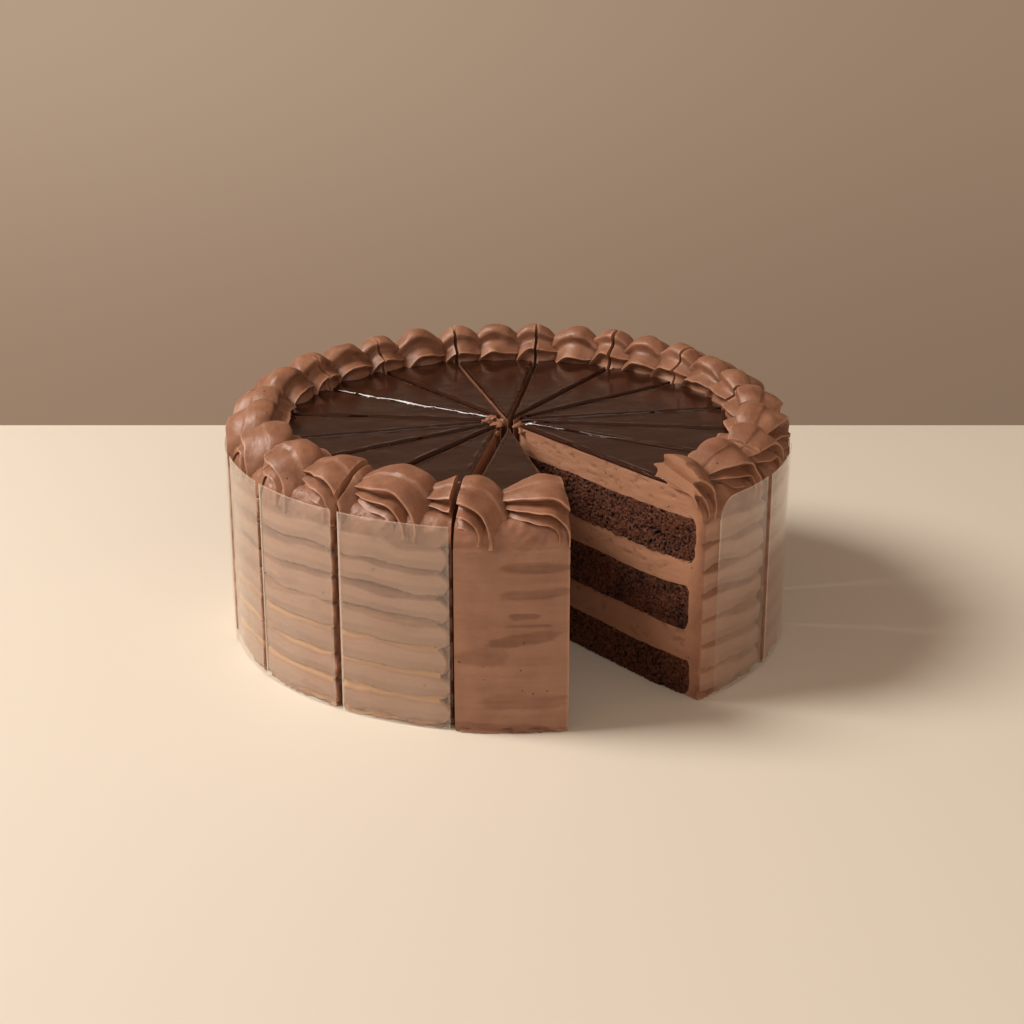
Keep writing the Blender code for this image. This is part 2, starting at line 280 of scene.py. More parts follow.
def portion_tip(index):
    """Point in plan where the two cut faces of a portion meet."""
    start, end = (math.radians(angle) for angle in portion_limits(index))
    near, far = portion_insets(index)
    spread = math.sin(end - start)
    x = (near * math.cos(end) + far * math.cos(start)) / spread
    y = (near * math.sin(end) + far * math.sin(start)) / spread
    return np.array((x, y))


def direction(angle):
    return Vector((math.cos(math.radians(angle)), math.sin(math.radians(angle)), 0.0))


def push_vector(index):
    push = FRONT_PUSH if index == FRONT else PUSH_STEP * (index % 3)
    return np.array(direction(sum(portion_limits(index)) / 2) * push)


def turn_at(index, way):
    start, end = (math.radians(angle) for angle in portion_limits(index))
    return start + way * (end - start)


def to_space(index, radius, level, way, relief=0.0, share=1.0):
    """Point of a portion; share runs from its tip to the radius, relief swells the cut faces."""
    turn = turn_at(index, way)
    tip = portion_tip(index)
    back = tip[0] * np.cos(turn) + tip[1] * np.sin(turn)
    run = share * (np.sqrt(np.maximum(radius ** 2 - tip @ tip + back ** 2, 0.0)) - back)
    side = relief * (np.where(way <= 0, 1.0, 0.0) - np.where(way >= 1, 1.0, 0.0))
    near, far = FLARES.get(index, (0.0, 0.0))
    flare = near * (1 - way) ** 3 - far * way ** 3
    side = side + flare * smooth_step(FLARE_RADIUS, WALL_RADIUS, share * radius)
    x = tip[0] + run * np.cos(turn) + side * np.sin(turn)
    y = tip[1] + run * np.sin(turn) - side * np.cos(turn)
    return stack(x, y, level) + push_vector(index)


# Mesh building

def linked(name, data):
    obj = bpy.data.objects.new(name, data)
    bpy.context.scene.collection.objects.link(obj)
    return obj


def clean(mesh, distance, triangles=False):
    """Merge points closer than the distance and turn all faces outward."""
    bm = bmesh.new()
    bm.from_mesh(mesh)
    bmesh.ops.remove_doubles(bm, verts=bm.verts, dist=distance)
    if triangles:
        bmesh.ops.triangulate(bm, faces=bm.faces)
    bmesh.ops.recalc_face_normals(bm, faces=bm.faces)
    bm.to_mesh(mesh)
    bm.free()


def mesh_object(name, points, faces, smooth_angle=60.0, marks=None):
    mesh = bpy.data.meshes.new(name)
    mesh.from_pydata(np.asarray(points).tolist(), [], faces)
    for mark, values in (marks or {}).items():
        layer = mesh.attributes.new(mark, "FLOAT", "POINT")
        layer.data.foreach_set("value", np.asarray(values, np.float32).ravel())
    clean(mesh, 0.001 * MM)
    mesh.shade_smooth()
    mesh.set_sharp_from_angle(angle=math.radians(smooth_angle))
    return linked(name, mesh)


def paint_lip_light_and_hollow_shade(mesh):
    """Paint highlight on thin lips and shade in hollows of a mesh, found by how its surface bends at
    each point.
    """
    count = len(mesh.vertices)
    place, normal = np.empty(count * 3), np.empty(count * 3)
    mesh.vertices.foreach_get("co", place)
    mesh.vertices.foreach_get("normal", normal)
    ends = np.empty(len(mesh.edges) * 2, np.int32)
    mesh.edges.foreach_get("vertices", ends)
    place, normal = place.reshape(-1, 3), normal.reshape(-1, 3)
    a, b = ends.reshape(-1, 2).T
    step = place[b] - place[a]
    long = np.maximum(np.linalg.norm(step, axis=1), 0.15 * MM)
    used = np.maximum(np.bincount(a, minlength=count) + np.bincount(b, minlength=count), 1)

    def spread(at_a, at_b):
        return (np.bincount(a, at_a, count) + np.bincount(b, at_b, count)) / used

    bend = spread(-(normal[a] * step).sum(1) / long ** 2, (normal[b] * step).sum(1) / long ** 2)
    bend = np.clip(bend * MM, -1.0, 1.0)
    for _ in range(2):
        bend = 0.5 * bend + 0.5 * spread(bend[b], bend[a])
    # The cut mark is a painted highlight on the lips, the dark mark painted shade in the hollows.
    marks = {"cut": smooth_step(0.07, 0.28, bend), "dark": smooth_step(0.03, 0.17, -bend)}
    for name, values in marks.items():
        layer = mesh.attributes.new(name, "FLOAT", "POINT")
        layer.data.foreach_set("value", values.astype(np.float32))


def grid_faces(rows, columns, first=0, flip=False):
    """Quads of a grid whose points are numbered row by row."""
    row, column = np.meshgrid(np.arange(rows - 1), np.arange(columns - 1), indexing="ij")
    a = first + row * columns + column
    quads = np.stack([a, a + 1, a + columns + 1, a + columns], axis=-1).reshape(-1, 4)
    if flip:
        quads = quads[:, ::-1]
    return quads.tolist()


def dress(obj, material, nodes=()):
    obj.data.materials.clear()
    obj.data.materials.append(material)
    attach(obj, "root")
    if nodes:
        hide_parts(*nodes)
    return obj


# Combed wall

# Width of the scalloped right edges, where it differs from the rest
SCALLOP_WIDTHS = {14: 1.35, 13: 0.7, 12: 0.75, 1: 1.1}

FRONT_SMEARS = (
    # middle across, level, half width, half height in millimetres, slope, strength
    (9.0, 68.0, 15.5, 2.1, 0.00, 0.56),
    (9.5, 57.4, 15.5, 2.0, 0.01, 0.48),
    (4.0, 48.8, 7.5, 1.7, 0.01, 0.62),
    (5.0, 44.6, 10.5, 0.7, 0.00, 0.42),
    (3.5, 39.0, 15.5, 2.6, 0.15, 0.60),
    (-11.5, 31.8, 11.0, 4.4, 0.05, 0.26),
    (4.0, 13.0, 18.5, 3.6, 0.00, 0.34),
    (-6.0, 2.2, 24.0, 2.4, -0.05, 0.40),
)


def ridge_form(arc, level):
    """Depth of the comb's grooves, each sloping back upward to a lip, place in it and lip's shade."""
    pitch = (LEDGE_LEVEL - RIDGE_FOOT) / RIDGE_COUNT
    warp = 1.9 * MM * patches(arc, 24, level, 22, 0.5, 11)
    warp += 0.8 * MM * patches(arc, 8, level, 9, 2.5, 12)
    warp += 0.28 * MM * patches(arc, 2.2, level, 3, 9.5, 14)
    turn = (level - RIDGE_FOOT + warp) / pitch
    near = np.round(turn)
    part = turn - near
    spread = np.clip(0.5 + 0.75 * smooth_noise(stack(arc / (16 * MM), near * 7.3, 4.5), 13), 0, 1)
    half = 0.07 + 0.23 * spread
    up = np.clip((part + half * 0.9) / (half * 1.9), 0.0, 1.0)
    slope = up ** 1.2 * (1 - smooth_step(0.90, 1.0, up))
    strength = np.clip(0.15 + 1.25 * spread, 0.1, 1.15)
    shade = np.exp(-(((up - 0.97) / 0.09) ** 2)) * np.clip(strength, 0, 1)
    return RIDGE_DEPTH * slope * strength, part, shade


def front_form(across, level):
    """Shallow smears left on the smooth wall of the front portion: depth, and darkness that is painted
    shade in the smears plus random darker bands and streaks.
    """
    depth = np.zeros(np.broadcast(across, level).shape)
    dark = np.zeros_like(depth)
    edge = fractal_patches(across, 10, level, 1.8, 7.5, 21, 4, 0.6)
    drag = patches(across, 7, level, 0.9, 2.2, 22)
    shift = 0.7 * patches(across, 9, level, 6, 3.3, 24)
    for middle, height, half, tall, slope, strength in FRONT_SMEARS:
        over = (across / MM - middle) / half
        up = (level / MM - height - slope * (across / MM - middle) + shift) / tall
        inside = 1 - np.sqrt(np.abs(over) ** 3 + np.abs(up) ** 2.4) + edge * 0.20
        shape = smooth_step(0.0, 0.30, inside)
        depth = np.maximum(depth, 0.6 * MM * shape * np.clip(0.8 + 0.3 * drag, 0.3, 1.1) * strength)
        # Painted shade in each smear's hollow.
        dark = np.maximum(dark, shape * np.clip(0.95 + 0.25 * drag - 0.15 * up, 0.3, 1.1) * strength)
    band = patches(across, 60, level, 5, 8.1, 25)
    streak = patches(across, 25, level, 1.2, 6.1, 26)
    depth = depth + (0.16 * band + 0.05 * streak) * MM
    return depth, np.clip(dark + 0.16 * np.clip(band, 0, 1) + 0.08 * streak, 0, 1)


def wall_form(index, arc, level, from_left, from_right):
    """Depth below the smooth outer radius with its marks: dark, mostly painted shade; painted board
    glow; pressed; and a bright outline.
    """
    fine = 0.05 * MM * fractal_patches(arc, 2.2, level, 1.6, 3.5, 31, 3)
    swell = patches(arc, 15, level, 8, 1.5, 33)
    if index == FRONT:
        across = (from_left - from_right) / 2
        smear, dark = front_form(across, level)
        depth = smear + (0.3 + 0.12 * swell) * MM
        warm = np.zeros_like(depth)
        outline = smooth_step(0.9 * MM, 0.3 * MM, from_right)
    else:
        groove, part, shade = ridge_form(arc, level)
        hollow = 0.22 * MM * np.clip(swell, 0.0, 1.0)
        wide = SCALLOP_WIDTHS.get(index, 0.8)
        wander = 1.1 * MM * smooth_noise(stack(index * 3.1, level / (6 * MM), 2.2), 36)
        cusp = np.clip(1 - 2 * np.abs(part), 0, 1)
        scallop = (1.3 + 3.8 * (1 - np.sqrt(1 - cusp ** 2))) * MM * wide + wander
        chamfer = 2.9 * MM * smooth_step(0.0, 1.5 * MM, scallop - from_right)
        near_cut = 0.7 * MM * smooth_step(1.0 * MM, 0.0, from_left)
        depth = np.maximum(groove + hollow, np.maximum(chamfer, near_cut))
        # Painted shade: darker in the recessed strip beside the scallops, and at half strength in the
        # line under each comb lip.
        dark = np.maximum(smooth_step(0.5 * MM, 2.0 * MM, chamfer), 0.5 * shade)
        # Painted light in the grooves: low on the wall a golden glow standing in for light reflected
        # from a gold board, weak on portions 1 to 3; higher up painted shade.
        sunk = smooth_step(0.12 * MM, 0.7 * MM, groove) * (1 - dark)
        board_glow_share = smooth_step(52 * MM, 26 * MM, level) * (1.0 if index > 3 else 0.2)
        warm = sunk * board_glow_share
        dark = np.maximum(dark, 0.34 * sunk * (1 - board_glow_share))
        outline = np.exp(-(((from_right - scallop) / (0.5 * MM)) ** 2))
    foot = smooth_step(4.5 * MM, 0.5 * MM, level)
    ragged = np.clip(0.45 + 0.6 * fractal_patches(arc, 4, level, 1.3, 5.5, 34, 3), 0, 1.3)
    depth = depth + foot * ragged * 1.5 * MM
    # Painted shade in the ragged crevice at the foot.
    dark = np.maximum(dark, foot * smooth_step(0.5, 1.0, ragged))
    pressed = 1 - smooth_step(0.05 * MM, 0.35 * MM, depth)
    if index == FRONT:
        pressed = 0.42 * np.clip(1 - 1.5 * dark, 0, 1)
    return depth + fine, dark, warm, pressed, outline


def profile_rows(step):
    """Rows up the wall, over the ledge and shoulder: radius, level, outward normal, kind."""
    rows = []
    count = int(round(LEDGE_LEVEL / step))
    for i in range(count):
        rows.append((WALL_RADIUS, LEDGE_LEVEL * i / count, 1.0, 0.0, 0.0))
    rise = TOP_LEVEL - LEDGE_LEVEL
    run = (WALL_RADIUS - SHOULDER_RADIUS) * 0.94
    turns = max(6, int(round(14 * MM / step)))
    for i in range(turns + 1):
        turn = math.pi / 2 * i / turns
        rows.append((
            SHOULDER_RADIUS + run * math.cos(turn),
            LEDGE_LEVEL + rise * math.sin(turn),
            math.cos(turn),
            math.sin(turn),
            1.0,
        ))
    flat = max(2, int(round((SHOULDER_RADIUS - SEAT_INNER) / (2 * step))))
    for i in range(1, flat + 1):
        inward = (SHOULDER_RADIUS - SEAT_INNER) * i / flat
        rows.append((SHOULDER_RADIUS - inward, TOP_LEVEL, 0.0, 1.0, 1.0))
    return np.array(rows)


def wall_points(index, rows, columns):
    """Points of the outer skin as rows by columns, with its marks."""
    radius, level, out, up, shoulder = (rows[:, k][:, None] for k in range(5))
    way = np.linspace(0.0, 1.0, columns)[None, :]
    turn = turn_at(index, way)
    arc = turn * WALL_RADIUS
    wide = (turn[0, -1] - turn[0, 0]) * WALL_RADIUS
    levels = level * np.ones_like(way)
    depth, dark, warm, pressed, outline = wall_form(index, arc, levels, way * wide, (1 - way) * wide)
    lump = 0.6 * MM * fractal_patches(arc, 6, level, 5, 6.5, 35, 3)
    above = smooth_step(LEDGE_LEVEL - 2.0 * MM, LEDGE_LEVEL + 2.5 * MM, level + 3 * lump)
    depth = depth * (1 - above) + (lump + 0.35 * MM) * above
    marks = {
        # Painted shade in a band on the wall just under the ledge, beneath the curls.
        "dark": np.maximum(dark * (1 - above), 0.35 * above * (1 - shoulder)),
        "warm": warm * (1 - above),
        "pressed": pressed * (1 - above),
        "cut": outline * (1 - above),
    }
    new_radius = radius - out * depth
    new_level = np.maximum(level - up * depth, 0.0)
    return to_space(index, new_radius, new_level, way), marks


def cream_body(index, step, inner=None):
    """Closed cream body of one portion, or its outer coat alone where inner gives the radius."""
    rows = profile_rows(step)
    if inner is not None:
        rows = rows[rows[:, 0] >= SHOULDER_RADIUS - 0.1 * MM]
    start, end = portion_limits(index)
    columns = max(12, int(round(math.radians(end - start) * WALL_RADIUS / step)))
    points, marks = wall_points(index, rows, columns)
    count = len(rows)
    verts = points.reshape(-1, 3)
    faces = grid_faces(count, columns)
    left = [r * columns for r in range(count)]
    right = [r * columns + columns - 1 for r in range(count)]
    base = len(verts)
    if inner is None:
        extra = [to_space(index, WALL_RADIUS, level, way, 0.0, TIP_SHARE)
                 for level in (0.0, TOP_LEVEL) for way in (0.0, 1.0)]
        verts = np.vstack([verts, extra])
        faces.append(left + [base + 2, base])
        faces.append(right[::-1] + [base + 1, base + 3])
        faces.append([base] + list(range(columns)) + [base + 1])
        top_row = list(range((count - 1) * columns, count * columns))
        faces.append([base + 3] + top_row[::-1] + [base + 2])
        faces.append([base, base + 1, base + 3, base + 2])
    else:
        levels = np.linspace(0.0, TOP_LEVEL, max(30, int(TOP_LEVEL / INNER_STEP)))
        way = np.linspace(0.0, 1.0, columns)[None, :]
        radius = inner(levels)[:, None] * np.ones_like(way)
        inside = to_space(index, radius, levels[:, None], way).reshape(-1, 3)
        verts = np.vstack([verts, inside])
        rows_in = len(levels)
        faces += grid_faces(rows_in, columns, base, flip=True)
        inner_left = [base + r * columns for r in range(rows_in)]
        inner_right = [base + r * columns + columns - 1 for r in range(rows_in)]
        faces.append(left + inner_left[::-1])
        faces.append(right[::-1] + inner_right)
        for c in range(columns - 1):
            faces.append([c, base + c, base + c + 1, c + 1])
            high = (count - 1) * columns + c
            high_in = base + (rows_in - 1) * columns + c
            faces.append([high, high + 1, high_in + 1, high_in])
    spare = len(verts) - base
    marks = {
        name: np.concatenate([np.ravel(values), np.full(spare, 1.0 if name == "cut" else 0.0)])
        for name, values in marks.items()
    }
    return verts, faces, marks


# Layers of the portions beside the gap

def layer_wave(place, seed):
    """Wavy height of a layer boundary at points of the plan."""
    x, y = place[..., 0], place[..., 1]
    broad = 0.8 * patches(x, 17, y, 17, 0.5, seed)
    small = 0.35 * patches(x, 3.5, y, 3.5, 0.5, seed + 1)
    return (broad + small) * MM


def sponge_end(level):
    """Radius where the sponges end, a little rounded at their edges."""
    level = np.asarray(level, float)
    radius = np.full(level.shape, SPONGE_RADIUS - 0.4 * MM)
    for name, (low, high) in SPONGE_LEVELS.items():
        middle = (low + high) / 2
        share = np.clip(np.abs(level - middle) / ((high - low) / 2), 0, 1.2)
        tuck = np.where(share < 1.0, 1.8 * MM * share ** 6, 1.8 * MM)
        inside = (level >= low - 0.5 * MM) & (level <= high + 0.5 * MM)
        radius = np.where(inside, SPONGE_RADIUS + SPONGE_ENDS[name] - tuck, radius)
    wobble = 0.8 * MM * smooth_noise(stack(level / (3.5 * MM), 0.5, 0.5), 61)
    wobble += 0.4 * MM * smooth_noise(stack(level / (1.1 * MM), 0.5, 0.5), 62)
    return radius + wobble


def slab(index, low, high, seeds, steps, relief):
    """Closed slab between two levels from the tip out to the sponge's end."""
    around, upward, across = steps
    shares = np.linspace(TIP_SHARE, 1.0, around)
    lift = np.linspace(0.0, 1.0, upward)
    ways = np.linspace(0.0, 1.0, across)
    s, v, w = np.meshgrid(shares, lift, ways, indexing="ij")
    end = sponge_end(low + (high - low) * v)
    flat = to_space(index, end, 0.0, w, 0.0, s)
    floor = low + (layer_wave(flat, seeds[0]) if low > 0 else 0.0)
    ceiling = high + (layer_wave(flat, seeds[1]) if high < TOP_LEVEL else 0.0)
    level = floor + (ceiling - floor) * v
    height, mark = relief(end * s, level, w, v)
    edge = smooth_step(0, 0.012, 1 - s)
    points = to_space(index, end, level, w, height * edge, s)
    number = np.arange(around * upward * across).reshape(around, upward, across)
    faces = []

    def skin(block, flip):
        a, b, c, d = block[:-1, :-1], block[1:, :-1], block[1:, 1:], block[:-1, 1:]
        quads = np.stack([a, b, c, d], axis=-1).reshape(-1, 4)
        faces.extend((quads[:, ::-1] if flip else quads).tolist())

    skin(number[:, :, 0], False)
    skin(number[:, :, -1], True)
    skin(number[:, 0, :], True)
    skin(number[:, -1, :], False)
    skin(number[0], False)
    skin(number[-1], True)
    used = np.unique(np.array(faces))
    renumber = np.zeros(number.size, int)
    renumber[used] = np.arange(len(used))
    faces = renumber[np.array(faces)].tolist()
    return points.reshape(-1, 3)[used], faces, np.broadcast_to(mark, level.shape).reshape(-1)[used]


def crumb_relief(strength, seed):
    """Relief of torn sponge: crumbs under a millimetre across, with holes between them."""
    def relief(radius, level, way, lift):
        shape = radius.shape
        height = np.full(shape, -0.2 * MM)
        mark = np.zeros(shape)
        for side in (0.0, 1.0):
            on = way == side
            spot = stack(radius[on], level[on], side * 0.05)
            warp = spot + 0.6 * MM * stack(
                smooth_noise(spot / (1.3 * MM), seed + 5),
                smooth_noise(spot / (1.3 * MM), seed + 6),
                0.0,
            )
            crumb = 1 - np.clip(nearest_cell(warp / (0.95 * MM), seed), 0, 1)
            clump = 1 - np.clip(nearest_cell(warp / (2.1 * MM), seed + 15), 0, 1)
            grit = fractal(spot / (0.5 * MM), seed + 3, 2)
            hole = smooth_step(0.42, 0.12, nearest_cell(warp / (1.9 * MM), seed + 9))
            swell = smooth_noise(spot / (6 * MM), seed + 12)
            rough = 0.95 * crumb + 0.55 * clump + 0.25 * grit - 1.2 * hole + 0.35 * swell - 0.5
            height[on] = rough * MM * strength
            # The mark is painted shade, darkest in the holes and dips between the crumbs.
            mark[on] = np.clip(0.50 - rough * 0.6, 0, 1)
        return height, mark
    return relief


def cream_relief(seed):
    """Relief of knife-cut cream: flat with soft drags and small torn spots, fading out towards its top
    and bottom.
    """
    def relief(radius, level, way, lift):
        drag = 0.14 * fractal_patches(radius, 9, level, 2.2, way * 3, seed, 3)
        torn = fractal_patches(radius, 3.2, level, 1.6, way * 5, seed + 7, 3)
        torn = smooth_step(0.62, 0.95, torn)
        border = np.minimum(lift, 1 - lift)
        fade = smooth_step(0.0, 0.08, border)
        return (drag - 0.35 * torn) * MM * fade, torn * 0.5
    return relief


# Piped border

def flute(first, last, count, hollow):
    """Hollow between two lips, deepest near the first."""
    pairs = []
    for k in range(1, count):
        share = k / count
        sag = hollow * math.sin(math.pi * share ** 0.62) ** 0.85
        angle, reach = (a + (b - a) * share for a, b in zip(first, last))
        pairs.append((angle, reach - sag))
    return pairs


def star_outline():
    """Outline of the piped cream across its stroke, size 1, as (outward, up) pairs."""
    low_inner, inner, dome, face, *lips = CRESTS
    polar = [(-160.0, BASE_REACH), (-128.0, 0.70), (low_inner[0] - 8.0, 0.80), low_inner]
    polar += flute(inner, low_inner, 9, HOLLOW_INNER)[::-1] + [inner]
    polar += flute(dome, inner, 10, HOLLOW_INNER)[::-1] + [dome]
    polar += flute(dome, face, 14, -DOME_SWELL)
    before = face
    for lip, hollow in zip(lips, HOLLOWS):
        polar += [before, (before[0] + LIP_TURN, before[1] - 0.03)]
        polar += flute((before[0] + LIP_TURN, before[1] - 0.03), lip, 11, hollow)
        before = lip
    polar += [before, (before[0] + 8.0, 0.80), (150.0, 0.66), (168.0, BASE_REACH)]
    angle, reach = np.radians([p[0] for p in polar]), np.array([p[1] for p in polar])
    flat = np.stack([reach * np.sin(angle), reach * np.cos(angle)], axis=-1)
    after = np.roll(flat, -1, axis=0)
    rounded = np.empty((2 * len(flat), 2))
    rounded[0::2] = flat * 0.84 + after * 0.16
    rounded[1::2] = flat * 0.16 + after * 0.84
    return rounded


def curl_stations():
    """Way along, lean and size from the low tail, over the top and down round the head."""
    stations = []
    for i in range(TAIL_STEPS):
        way = i / TAIL_STEPS
        size = TAIL_SIZE + (1 - TAIL_SIZE) * math.sin(way * math.pi / 2) ** 1.3
        stations.append((TAIL_START * (1 - way), 90.0, size))
    for i in range(HEAD_STEPS + 1):
        stations.append((0.0, 90.0 - HEAD_TURN * i / HEAD_STEPS, 1.0))
    return stations


def curl_points(size, roll, seed):
    length, width, height = size
    outline = star_outline()
    cos, sin = math.cos(math.radians(roll)), math.sin(math.radians(roll))
    outline = outline @ np.array([[cos, sin], [-sin, cos]])
    rng = random.Random(seed)
    sway = [rng.uniform(0, 6) for _ in range(2)]
    rings = []
    for number, (along, lean, scale) in enumerate(curl_stations()):
        turn = math.radians(lean)
        up = np.array([math.cos(turn) * CURL_STRETCH * length, 0.0, math.sin(turn)])
        slow, quick = math.sin(number * 0.33 + sway[0]), math.sin(number * 0.8 + sway[1])
        wave = scale * (1 + 0.012 * slow + 0.006 * quick)
        level = np.maximum(0.3 * MM, CURL_RISE + outline[:, 1] * CURL_HEIGHT * height * wave)
        place = np.zeros((len(outline), 3))
        place[:, 0] = along * length
        place[:, 1] = -outline[:, 0] * CURL_WIDTH * width * wave
        place += level[:, None] * up
        rings.append(place)
    points = np.array(rings)
    spot = points / (6 * MM) + seed * 3.7
    bend = np.stack([smooth_noise(spot, seed * 7 + k) for k in range(3)], axis=-1)
    fine = np.stack([fractal(points / (1.5 * MM) + seed, seed * 11 + k, 2) for k in range(3)], axis=-1)
    return points + bend * 0.75 * MM + fine * 0.08 * MM


def curl_mesh(size, roll, seed):
    points = curl_points(size, roll, seed)
    rings, around, _ = points.shape
    number = np.arange(rings * around).reshape(rings, around)
    a, b = number[:-1], number[1:]
    quads = np.stack([a, np.roll(a, -1, axis=1), np.roll(b, -1, axis=1), b], axis=-1).reshape(-1, 4)
    faces = quads.tolist() + [number[0][::-1].tolist(), number[-1].tolist()]
    mesh = bpy.data.meshes.new("curl")
    mesh.from_pydata(points.reshape(-1, 3).tolist(), [], faces)
    clean(mesh, MERGE, triangles=True)
    return mesh


def curl_placing(rng, number):
    """Matrix that stands a curl on the edge of the cake, and its size and roll."""
    turn = 2 * math.pi * number / CURLS
    front = math.cos(turn)
    angle = CURL_PHASE - math.degrees(turn + CURL_CROWDING * math.sin(turn)) + rng.uniform(-0.7, 0.7)
    each = rng.uniform(0.95, 1.05)
    size = [each * (1 + share * front) for share in (FRONT_LENGTH, FRONT_WIDTH, FRONT_HEIGHT)]
    roll = rng.uniform(-7.0, 7.0)
    yaw = CURL_YAW + rng.uniform(-6.0, 6.0)
    outward = direction(angle)
    along = direction(angle + 90.0)
    centre = outward * (CURL_CENTRE - CURL_WIDTH * FRONT_WIDTH * front)
    place = Matrix((
        (along.x, -outward.x, 0.0, centre.x),
        (along.y, -outward.y, 0.0, centre.y),
        (0.0, 0.0, 1.0, TOP_LEVEL - CURL_SINK),
        (0.0, 0.0, 0.0, 1.0),
    ))
    return place @ Matrix.Rotation(math.radians(-yaw), 4, "Z"), size, roll


def turned(name, profile, steps=192):
    """Closed body of a profile of radius and level turned round the middle."""
    mesh = bpy.data.meshes.new(name)
    points = [(radius, 0.0, level) for radius, level in profile]
    mesh.from_pydata(points, [(i, i + 1) for i in range(len(points) - 1)], [])
    obj = linked(name, mesh)
    screw = obj.modifiers.new("turn", "SCREW")
    screw.steps = steps
    screw.render_steps = steps
    screw.use_merge_vertices = True
    screw.merge_threshold = MERGE
    return baked(obj)


def baked(obj):
    graph = bpy.context.evaluated_depsgraph_get()
    obj.data = bpy.data.meshes.new_from_object(obj.evaluated_get(graph))
    obj.modifiers.clear()
    return obj


def border_room():
    """Space that the border may fill: above the cream and glaze, inside the film."""
    ceiling = TOP_LEVEL + 40 * MM
    run = (WALL_RADIUS - SHOULDER_RADIUS) * 0.9
    rise = TOP_LEVEL - LEDGE_LEVEL
    sunk = 0.6 * MM
    shoulder = [
        (SHOULDER_RADIUS + run * math.cos(turn) - sunk, LEDGE_LEVEL + rise * math.sin(turn) - sunk)
        for turn in (math.pi / 2 * i / 8 for i in range(9))
    ]
    profile = [(0.0, ceiling), (BORDER_REACH, ceiling), (BORDER_REACH, LEDGE_LEVEL)]
    profile += shoulder + [(0.0, TOP_LEVEL - sunk)]
    return turned("border_room", profile)


def wedge_mesh(name, index):
    """Upright prism of one portion, a little inside its cuts."""
    start, end = portion_limits(index)
    near, far = FLARES.get(index, (0.0, 0.0))
    start -= math.degrees(near / WALL_RADIUS) * BORDER_FLARE
    end += math.degrees(far / WALL_RADIUS) * BORDER_FLARE
    if index not in (FRONT, FRONT - 1):
        start -= CLOSED_UP
        end += CLOSED_UP
    tip = Vector((*portion_tip(index), 0.0))
    reach = 3 * WALL_RADIUS
    corners = [tip, tip + direction(start) * reach, tip + direction(end) * reach]
    low, high = -WALL_RADIUS, WALL_RADIUS
    points = [(c.x, c.y, z) for z in (low, high) for c in corners]
    faces = [(2, 1, 0), (3, 4, 5), (0, 1, 4, 3), (1, 2, 5, 4), (2, 0, 3, 5)]
    mesh = bpy.data.meshes.new(name)
    mesh.from_pydata(points, [], faces)
    return linked(name, mesh)


def add_boolean(obj, operation, other):
    cut = obj.modifiers.new(operation.lower(), "BOOLEAN")
    cut.operation = operation
    cut.solver = "MANIFOLD"
    if isinstance(other, bpy.types.Collection):
        cut.operand_type = "COLLECTION"
        cut.collection = other
    else:
        cut.object = other


def make_border_ring():
    rng = random.Random(BORDER_SEED)
    curls = bpy.data.collections.new("curls")
    bpy.context.scene.collection.children.link(curls)
    ring = None
    for number in range(CURLS):
        matrix, size, roll = curl_placing(rng, number)
        curl = bpy.data.objects.new(f"curl_{number:02d}", curl_mesh(size, roll, number + 1))
        curl.matrix_world = matrix
        if ring is None:
            ring = curl
            bpy.context.scene.collection.objects.link(curl)
        else:
            curls.objects.link(curl)
    room = border_room()
    add_boolean(ring, "UNION", curls)
    add_boolean(ring, "INTERSECT", room)
    baked(ring)
    for curl in list(curls.objects):
        bpy.data.objects.remove(curl, do_unlink=True)
    bpy.data.collections.remove(curls)
    bpy.data.objects.remove(room, do_unlink=True)
    return ring


def make_borders(material):
    """The ring of curls cut into the portions' borders."""
    ring = make_border_ring()
    for index in range(1, PORTIONS):
        piece = ring.copy()
        piece.name = f"border_{index:02d}"
        bpy.context.scene.collection.objects.link(piece)
        wedge = wedge_mesh("wedge", index)
        add_boolean(piece, "INTERSECT", wedge)
        baked(piece)
        bpy.data.objects.remove(wedge, do_unlink=True)
        piece.data.transform(Matrix.Translation(Vector(push_vector(index))) @ piece.matrix_world)
        piece.matrix_world = Matrix.Identity(4)
        paint_lip_light_and_hollow_shade(piece.data)
        piece.data.shade_smooth()
        piece.data.set_sharp_from_angle(angle=math.radians(45))
        dress(piece, material, [f"portion_{index:02d}_border"])
    bpy.data.objects.remove(ring, do_unlink=True)


# Glaze and film

